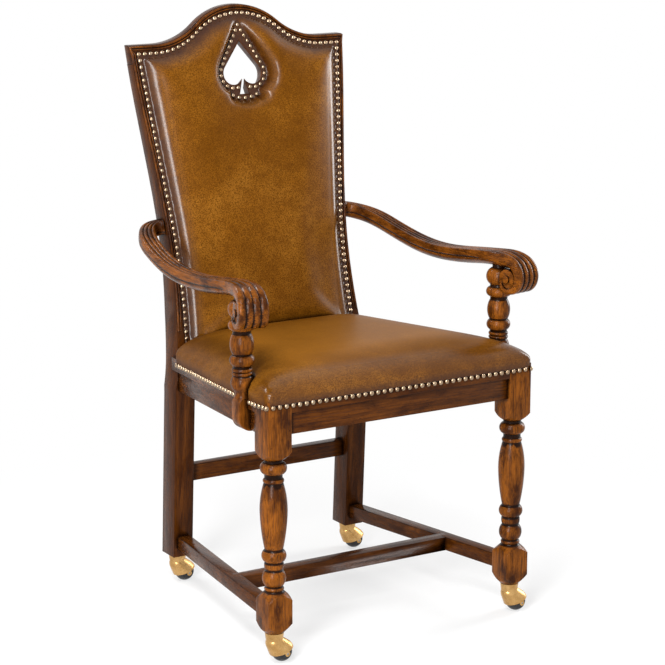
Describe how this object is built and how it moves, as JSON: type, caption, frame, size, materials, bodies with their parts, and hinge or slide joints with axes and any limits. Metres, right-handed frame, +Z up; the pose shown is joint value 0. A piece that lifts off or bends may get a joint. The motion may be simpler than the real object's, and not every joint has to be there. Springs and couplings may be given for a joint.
{
  "type": "high back armchair",
  "caption": "High back armchair with turned legs, scrolled arms, nailed leather seat and arched back pierced by a spade, on swivel casters.",
  "frame": {"origin": "centre of the bounding box, on the floor under the casters", "axes": "+Z up, -Y to the front of the chair, +X to the right as seen from the front"},
  "size_m": [0.6418, 0.6422, 1.126],
  "materials": {
    "walnut": "dark walnut stain, worn satin gloss",
    "inner_wood": "plain, unfinished",
    "leather": "burnished golden brown leather, satin gloss",
    "liner": "dark brown leather",
    "padding": "foam and wadding",
    "cloth": "black dust cloth",
    "nail_brass": "antique brass",
    "caster_brass": "polished brass",
    "caster_wheel": "black, hard",
    "steel": "plain steel"
  },
  "bodies": {
    "frame": {"crest_rail": "walnut", "lower_back_rail": "walnut", "front_seat_rail": "walnut", "rear_seat_rail": "walnut", "centre_stretcher": "walnut", "rear_stretcher": "walnut", "rear_leg_right": "walnut", "rear_leg_left": "walnut", "front_leg_right": "walnut", "front_leg_left": "walnut", "side_seat_rail_right": "walnut", "side_seat_rail_left": "walnut", "side_stretcher_right": "walnut", "side_stretcher_left": "walnut", "arm_right": "walnut", "arm_left": "walnut", "arm_post_right": "walnut", "arm_post_left": "walnut", "corner_blocks": "inner_wood", "seat_deck": "inner_wood", "back_board": "inner_wood", "corner_block_screws": "steel", "arm_post_screws": "steel", "arm_screws": "steel", "seat_padding": "padding", "back_padding": "padding", "seat_leather": "leather", "back_leather": "leather", "rear_leather": "leather", "spade_liner": "liner", "back_nails": "nail_brass", "spade_nails": "nail_brass", "rear_nails": "nail_brass", "seat_nails": "nail_brass", "dust_cover": "cloth", "caster_socket_front_right": "steel", "caster_socket_front_left": "steel", "caster_socket_rear_right": "steel", "caster_socket_rear_left": "steel"},
    "caster_front_right": {"caster_hood_front_right": "caster_brass", "caster_stem_front_right": "steel", "caster_axle_front_right": "steel"},
    "wheel_front_right": {"caster_wheel_front_right": "caster_wheel"},
    "caster_front_left": {"caster_hood_front_left": "caster_brass", "caster_stem_front_left": "steel", "caster_axle_front_left": "steel"},
    "wheel_front_left": {"caster_wheel_front_left": "caster_wheel"},
    "caster_rear_right": {"caster_hood_rear_right": "caster_brass", "caster_stem_rear_right": "steel", "caster_axle_rear_right": "steel"},
    "wheel_rear_right": {"caster_wheel_rear_right": "caster_wheel"},
    "caster_rear_left": {"caster_hood_rear_left": "caster_brass", "caster_stem_rear_left": "steel", "caster_axle_rear_left": "steel"},
    "wheel_rear_left": {"caster_wheel_rear_left": "caster_wheel"}
  },
  "joints": [
    {"name": "swivel_front_right", "type": "hinge", "parent": "frame", "child": "caster_front_right", "pos_m": [0.26, -0.29159, 0.058], "axis": [0, 0, 1], "continuous": true},
    {"name": "roll_front_right", "type": "hinge", "parent": "caster_front_right", "child": "wheel_front_right", "pos_m": [0.275, -0.29159, 0.019], "axis": [0, 1, 0], "continuous": true},
    {"name": "swivel_front_left", "type": "hinge", "parent": "frame", "child": "caster_front_left", "pos_m": [-0.26, -0.29159, 0.058], "axis": [0, 0, 1], "continuous": true},
    {"name": "roll_front_left", "type": "hinge", "parent": "caster_front_left", "child": "wheel_front_left", "pos_m": [-0.245, -0.29159, 0.019], "axis": [0, 1, 0], "continuous": true},
    {"name": "swivel_rear_right", "type": "hinge", "parent": "frame", "child": "caster_rear_right", "pos_m": [0.199, 0.19765, 0.058], "axis": [0, 0, 1], "continuous": true},
    {"name": "roll_rear_right", "type": "hinge", "parent": "caster_rear_right", "child": "wheel_rear_right", "pos_m": [0.214, 0.19765, 0.019], "axis": [0, 1, 0], "continuous": true},
    {"name": "swivel_rear_left", "type": "hinge", "parent": "frame", "child": "caster_rear_left", "pos_m": [-0.199, 0.19765, 0.058], "axis": [0, 0, 1], "continuous": true},
    {"name": "roll_rear_left", "type": "hinge", "parent": "caster_rear_left", "child": "wheel_rear_left", "pos_m": [-0.184, 0.19765, 0.019], "axis": [0, 1, 0], "continuous": true}
  ]
}
